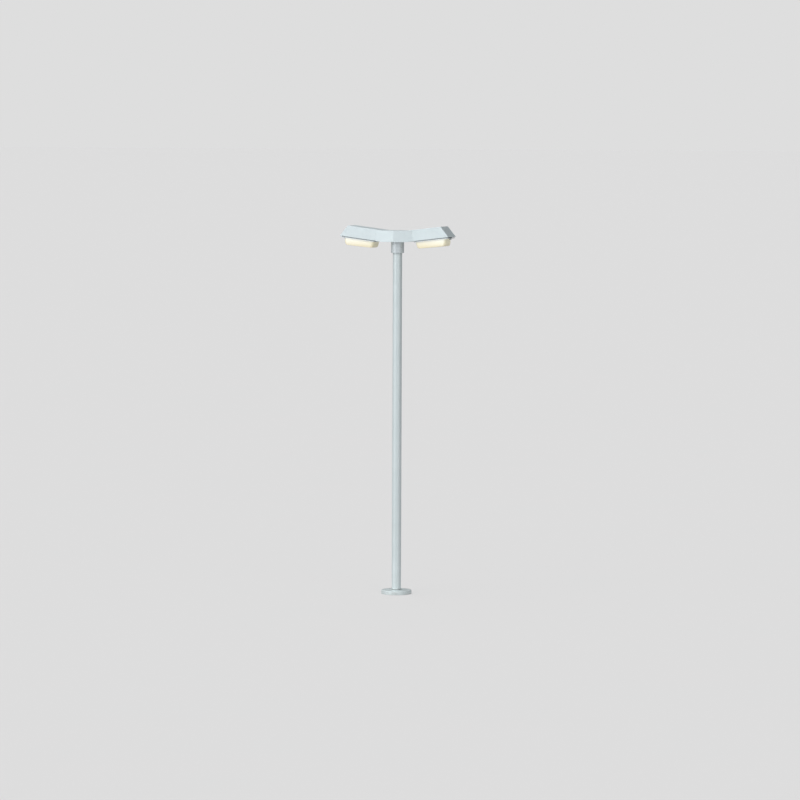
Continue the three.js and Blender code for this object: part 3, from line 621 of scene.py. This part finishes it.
def build_collar():
    """A casting: a skirt round the column's top, and inside it a boss with the spigot's socket."""
    low, high = COLLAR_LOW.z, COLLAR_HIGH.z
    outer = COLLAR_HIGH.y
    inner = outer - 7 * MM
    boss = 48 * MM
    socket = 38.6 * MM
    cable_hole = 30 * MM
    ceiling = high - 14 * MM
    seat = SHAFT_HIGH.z + 6.3 * MM
    socket_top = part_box("top_spigot")[1].z + 2.5 * MM
    body = lathe([
        (boss, seat, 1 * MM),
        (boss, ceiling, 6 * MM),
        (inner, ceiling, 6 * MM),
        (inner, low, 1.5 * MM),
        (outer, low, 3 * MM),
        (outer, high, 1 * MM),
        (cable_hole, high, 1 * MM),
        (cable_hole, socket_top, 0.5 * MM),
        (socket, socket_top, 0.3 * MM),
        (socket, seat, 0.8 * MM),
    ], 1 * MM, 128, 5)
    holes = [set_screw_hole(number, outer) for number in (1, 2, 3)]
    piece("collar_casting", carved(body, holes, 0.5 * MM), "collar")


# ---- Head ---------------------------------------------------------------------------------------


def folded(bm):
    """Rounds every fold of a thin sheet, gives it its thickness inwards and eases its cut edges."""
    least_fold = math.radians(3)
    folds = [e for e in bm.edges if len(e.link_faces) == 2 and e.calc_face_angle(0) > least_fold]
    bmesh.ops.bevel(bm, geom=folds, offset=FOLD, segments=4, profile=0.5, affect="EDGES",
                    clamp_overlap=True)
    bmesh.ops.recalc_face_normals(bm, faces=bm.faces)
    thicken = {"thickness": SKIN, "offset": -1, "use_even_offset": True, "use_quality_normals": True}
    ease = {"width": 0.5 * MM, "segments": 2, "limit_method": "ANGLE", "angle_limit": math.radians(60)}
    return applied(bm, ("SOLIDIFY", thicken), ("BEVEL", ease))


def outwards(bm, centre):
    """Turns the faces of an open sheet away from a point inside it."""
    bmesh.ops.recalc_face_normals(bm, faces=bm.faces)
    bm.faces.ensure_lookup_table()
    facing = sum(f.normal.dot(f.calc_center_median() - centre) * f.calc_area() for f in bm.faces)
    if facing < 0:
        bmesh.ops.reverse_faces(bm, faces=bm.faces)


def build_canopy(side):
    """A lantern's roof: one folded sheet, with a return round the mouth above the bowl."""
    x0 = HUB_JOINT + 1 * MM
    bm = bmesh.new()
    low, high = [
        [bm.verts.new(point) for point in (
            (x0, -size["y"], z),
            (size["x1"], -size["y"], z),
            (size["x1"], size["y"], z),
            (x0, size["y"], z),
        )]
        for size, z in ((ARM_BOTTOM, 0), (ARM_TOP, HEAD_HEIGHT))
    ]
    for i in range(3):
        bm.faces.new((low[i], low[i + 1], high[i + 1], high[i]))
    bm.faces.new(high)
    bm.faces.new(low[::-1])
    outwards(bm, Vector(((x0 + ARM_TOP["x1"]) / 2, 0, HEAD_HEIGHT / 2)))
    sheet = folded(bm)
    below, above = -10 * MM, 8 * MM
    mouth = prism(rounded_rectangle(OPENING["x0"], OPENING["x1"], OPENING["y"], OPENING["r"]), below, above)
    latch_low, latch_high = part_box("right_latch")
    latch_x = (ARM["right"].inverted() @ ((latch_low + latch_high) / 2)).x
    slot_ends = (latch_x - LATCH_SLOT["x"], latch_x + LATCH_SLOT["x"])
    slot = prism(rounded_rectangle(*slot_ends, LATCH_SLOT["y"], LATCH_SLOT["r"]), below, above)
    piece(f"{side}_roof", carved(sheet, [mouth, slot]), f"{side}_canopy", ARM[side])


def build_hub():
    """The hub: a folded sheet over the collar, level in the middle and rising at both ends."""
    tangent = math.tan(TILT / 2)
    end_low = ARM["right"] @ Vector((HUB_JOINT, 0, 0))
    end_high = ARM["right"] @ Vector((HUB_JOINT, 0, HEAD_HEIGHT))

    def station(x_low, z_low, x_high, z_high):
        """The sheet's four corners at one place along the hub: the ridge fades out at both ends."""
        ridge_low = RIDGE * (1 - abs(x_low) / end_low.x)
        ridge_high = RIDGE * (1 - abs(x_high) / end_low.x)
        return [
            (x_low, -ARM_BOTTOM["y"] - ridge_low, z_low),
            (x_high, -ARM_TOP["y"] - ridge_high, z_high),
            (x_high, ARM_TOP["y"] + ridge_high, z_high),
            (x_low, ARM_BOTTOM["y"] + ridge_low, z_low),
        ]

    level, roof = HUB_BOTTOM, HUB_BOTTOM + HEAD_HEIGHT
    bend_high = BEND - HEAD_HEIGHT * tangent
    stations = [
        station(-end_low.x, end_low.z, -end_high.x, end_high.z),
        station(-BEND, level, -bend_high, roof),
        station(0, level, 0, roof),
        station(BEND, level, bend_high, roof),
        station(end_low.x, end_low.z, end_high.x, end_high.z),
    ]
    bm = bmesh.new()
    made = [[bm.verts.new(point) for point in ring] for ring in stations]
    for a, b in zip(made, made[1:]):
        for i in range(3):
            bm.faces.new((a[i], a[i + 1], b[i + 1], b[i]))
    outwards(bm, Vector((0, 0, HUB_BOTTOM)))
    piece("hub_roof", folded(bm), "hub_housing", sharp=25)


def bowl_ring(drop, wall):
    """One level of the bowl, drop from 0 at its lip to 1 at its foot: squarish quarter ellipses."""
    squareness = 3.0
    angle = drop * math.pi / 2
    sink = math.sin(angle) ** (2 / squareness)
    pull = 1 - max(math.cos(angle), 0.0) ** (2 / squareness)
    x0 = BOWL["x0"] + wall + BOWL_RUN["inner"] * pull
    x1 = BOWL["x1"] - wall - BOWL_RUN["outer"] * pull
    y = BOWL["y"] - wall - BOWL_RUN["side"] * pull
    ring = []
    for px, py in rounded_rectangle(x0, x1, y, BOWL["r"] - wall, BOWL_CORNER_STEPS):
        share = (px - BOWL["x0"]) / (BOWL["x1"] - BOWL["x0"])
        depth = BOWL_DEPTH["inner"] + (BOWL_DEPTH["outer"] - BOWL_DEPTH["inner"]) * share - wall
        ring.append((px, py, BOWL_TOP - (depth + BOWL_TOP) * sink))
    return ring


def shrunk(ring, share, crown):
    """The ring drawn in to a share of its size, and sunk by crown towards its middle."""
    centre = sum((Vector(p) for p in ring), Vector()) / len(ring)
    made = []
    for point in ring:
        p = centre.lerp(Vector(point), share)
        p.z -= crown * (1 - share ** 2)
        made.append(p)
    return made


def build_bowl(side):
    """An opal bowl: a hollow shell with a flat lip round its top, and a slightly sagging floor."""
    wall = 3 * MM
    lip = 6 * MM
    lip_height = 3 * MM
    steps = 22
    crown = 1.5 * MM
    outer = [bowl_ring(i / steps, 0) for i in range(steps + 1)]
    inner = [bowl_ring(i / steps, wall) for i in range(steps + 1)]
    floor_shares = (0.8, 0.6, 0.4, 0.2, 0.02)
    outline = rounded_rectangle(BOWL["x0"] - lip, BOWL["x1"] + lip, BOWL["y"] + lip, BOWL["r"] + lip,
                                BOWL_CORNER_STEPS)
    lip_top = [(x, y, BOWL_TOP) for x, y in outline]
    lip_foot = [(x, y, BOWL_TOP - lip_height) for x, y in outline]
    lip_root = [(x, y, BOWL_TOP - lip_height) for x, y, z in outer[0]]
    rings = [shrunk(inner[-1], share, crown) for share in reversed(floor_shares)]
    rings += inner[::-1]
    rings += [lip_top, lip_foot, lip_root]
    rings += outer[1:]
    rings += [shrunk(outer[-1], share, crown) for share in floor_shares]
    piece(f"{side}_opal", skin(rings), f"{side}_bowl", ARM[side], sharp=50)


def build_lamp(side):
    """An ellipsoidal discharge lamp: screw cap, neck and a rounded bulb."""
    low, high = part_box("right_lamp")
    along = ARM["right"].inverted()
    ends = [(along @ Vector((x, 0, z))).x for x in (low.x, high.x) for z in (low.z, high.z)]
    corner = 6 * MM  # how far the box's corners reach past the tilted lamp
    start, end = min(ends) + corner, max(ends) - corner
    cap_r, neck_r, bulb_r = 18.5 * MM, 17 * MM, 34 * MM
    tip_r = 0.3 * MM
    thread_start, pitch, thread_depth = 6 * MM, 5 * MM, 1.2 * MM
    cap_end, neck_end = 34 * MM, 46 * MM
    profile = [(tip_r, 0), (6 * MM, 0.5 * MM), (cap_r - 4 * MM, 4 * MM)]
    for turn in range(5):
        height = thread_start + turn * pitch
        profile += [(cap_r - thread_depth, height), (cap_r, height + pitch / 2)]
    profile += [(neck_r, cap_end), (neck_r, neck_end)]
    middle = neck_end + (end - start - neck_end) * 0.52
    half = end - start - middle
    bulb_steps = 17
    for step in range(1, bulb_steps + 1):
        angle = math.radians(150 - 150 * step / bulb_steps)
        profile.append((max(bulb_r * math.sin(angle), tip_r), middle + half * math.cos(angle)))
    bm = lathe(profile, 0.6 * MM, 64, 3)
    bm.transform(Matrix.Translation((start, 0, LAMP_AXIS)) @ Matrix.Rotation(math.pi / 2, 4, "Y"))
    piece(f"{side}_lamp_bulb", bm, f"{side}_lamp", ARM[side], sharp=60)


def build_head():
    build_hub()
    for side in ("right", "left"):
        build_canopy(side)
        build_bowl(side)
        build_lamp(side)


# ---- CAD nodes that keep their own shape --------------------------------------------------------

EDGE = {  # how far the edges of each material are eased
    "cast_paint": 1.6 * MM,
    "galvanised_steel": 0.8 * MM,
    "ceramic": 1.5 * MM,
    "grey_plastic": 1.2 * MM,
    "black_plastic": 1.0 * MM,
    "rubber": 1.0 * MM,
}
SMALL_EDGE = 0.4 * MM  # for the other materials


def refine(node, obj):
    """Welds a CAD node's facets, eases its edges and shades its round faces smooth."""
    slot = slot_of_node(node)
    obj.data.materials.clear()
    obj.data.materials.append(SLOTS[slot])
    low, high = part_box(node)
    widest_edge = min(high - low) * 0.12
    weld = obj.modifiers.new("weld", "WELD")
    weld.merge_threshold = 1e-5
    flat = obj.modifiers.new("flat", "DECIMATE")
    flat.decimate_type = "DISSOLVE"
    flat.angle_limit = math.radians(0.6)
    ease = obj.modifiers.new("ease", "BEVEL")
    ease.width = min(EDGE.get(slot, SMALL_EDGE), widest_edge)
    ease.segments = 3
    ease.limit_method = "ANGLE"
    ease.angle_limit = math.radians(32)
    for polygon in obj.data.polygons:
        polygon.use_smooth = True
    flat_faces_stay_flat(obj)


# ---- Stage, light and camera --------------------------------------------------------------------


def build_stage():
    """A floor that runs out far behind the post, where the backdrop has the same grey."""
    mesh = bpy.data.meshes.new("floor")
    bm = bmesh.new()
    half_width = 1500
    bmesh.ops.create_grid(bm, x_segments=8, y_segments=8, size=half_width)
    bm.to_mesh(mesh)
    bm.free()
    floor = bpy.data.objects.new("floor", mesh)
    bpy.context.scene.collection.objects.link(floor)
    mesh.materials.append(floor_paint("floor_paint"))


def sun(name, azimuth, elevation, strength, softness):
    """A distant light from an azimuth, measured like a camera's, and an elevation, in degrees."""
    around, up = math.radians(azimuth), math.radians(elevation)
    level = math.cos(up)
    place = Vector((math.sin(around) * level, -math.cos(around) * level, math.sin(up)))
    light = bpy.data.lights.new(name, "SUN")
    light.energy = strength
    light.angle = math.radians(softness)
    obj = bpy.data.objects.new(name, light)
    bpy.context.scene.collection.objects.link(obj)
    obj.rotation_euler = (-place).to_track_quat("-Z", "Y").to_euler()


def build_light():
    """A key from the front left, a wide light high on the left and a fill from the right."""
    sun("key", -33, 13, 0.62, 38)
    sun("top", -74, 68, 1.9, 120)
    sun("fill", 46, 8, 0.74, 60)


def build_world():
    """A studio that dims towards the back and the floor.

    The camera sees a plain backdrop of the floor's own grey in place of the studio's walls.
    """
    world = bpy.data.worlds.new("studio")
    bpy.context.scene.world = world
    world.use_nodes = True
    tree = world.node_tree
    background = tree.nodes["Background"]
    background.inputs["Color"].default_value = (0.96, 0.985, 1.0, 1)
    direction = tree.nodes.new("ShaderNodeTexCoord").outputs["Generated"]
    facing = tree.nodes.new("ShaderNodeVectorMath")
    facing.operation = "DOT_PRODUCT"
    tree.links.new(direction, facing.inputs[0])
    azimuth = math.radians(-16)
    across, up = 0.75, 0.66
    brightest = (math.sin(azimuth) * across, -math.cos(azimuth) * across, up)
    facing.inputs[1].default_value = brightest
    level = tree.nodes.new("ShaderNodeMapRange")
    tree.links.new(facing.outputs["Value"], level.inputs["Value"])
    limits = {"From Min": -0.5, "From Max": 1.0, "To Min": 0.04, "To Max": 0.62}
    for name, number in limits.items():
        level.inputs[name].default_value = number
    tree.links.new(level.outputs["Result"], background.inputs["Strength"])
    backdrop = tree.nodes.new("ShaderNodeBackground")
    backdrop.inputs["Color"].default_value = (*linear(222, 222, 222), 1)
    choice = tree.nodes.new("ShaderNodeMixShader")
    tree.links.new(tree.nodes.new("ShaderNodeLightPath").outputs["Is Camera Ray"], choice.inputs["Fac"])
    tree.links.new(background.outputs["Background"], choice.inputs[1])
    tree.links.new(backdrop.outputs["Background"], choice.inputs[2])
    tree.links.new(choice.outputs["Shader"], tree.nodes["World Output"].inputs["Surface"])


def build_camera():
    """A long lens at the front right, a little higher than the post's top."""
    azimuth = math.radians(22)
    right = Vector((math.cos(azimuth), math.sin(azimuth), 0))
    back = Vector((math.sin(azimuth), -math.cos(azimuth), 0))
    distance, height = 52.0, 6.6
    side_shift, aim_height = 0.043, 2.798
    roll_degrees = 0.205
    aim = right * side_shift + Vector((0, 0, aim_height))
    camera = bpy.data.objects.new("camera", bpy.data.cameras.new("camera"))
    bpy.context.scene.collection.objects.link(camera)
    camera.location = right * side_shift + back * distance + Vector((0, 0, height))
    camera.data.sensor_width = 36
    camera.data.lens = 163.3
    camera.data.clip_end = 3000
    roll = Matrix.Rotation(math.radians(roll_degrees), 4, "Z")
    look = (aim - camera.location).to_track_quat("-Z", "Y").to_matrix().to_4x4()
    camera.rotation_euler = (look @ roll).to_euler()
    bpy.context.scene.camera = camera


build_shaft()
build_base_cover()
build_base_seal()
build_collar()
build_head()
for name, obj in frame["nodes"].items():
    if not obj.hide_render:  # a node that a finer mesh replaces is hidden
        refine(name, obj)
build_stage()
build_light()
build_world()
build_camera()
bpy.context.scene.view_settings.view_transform = "Standard"
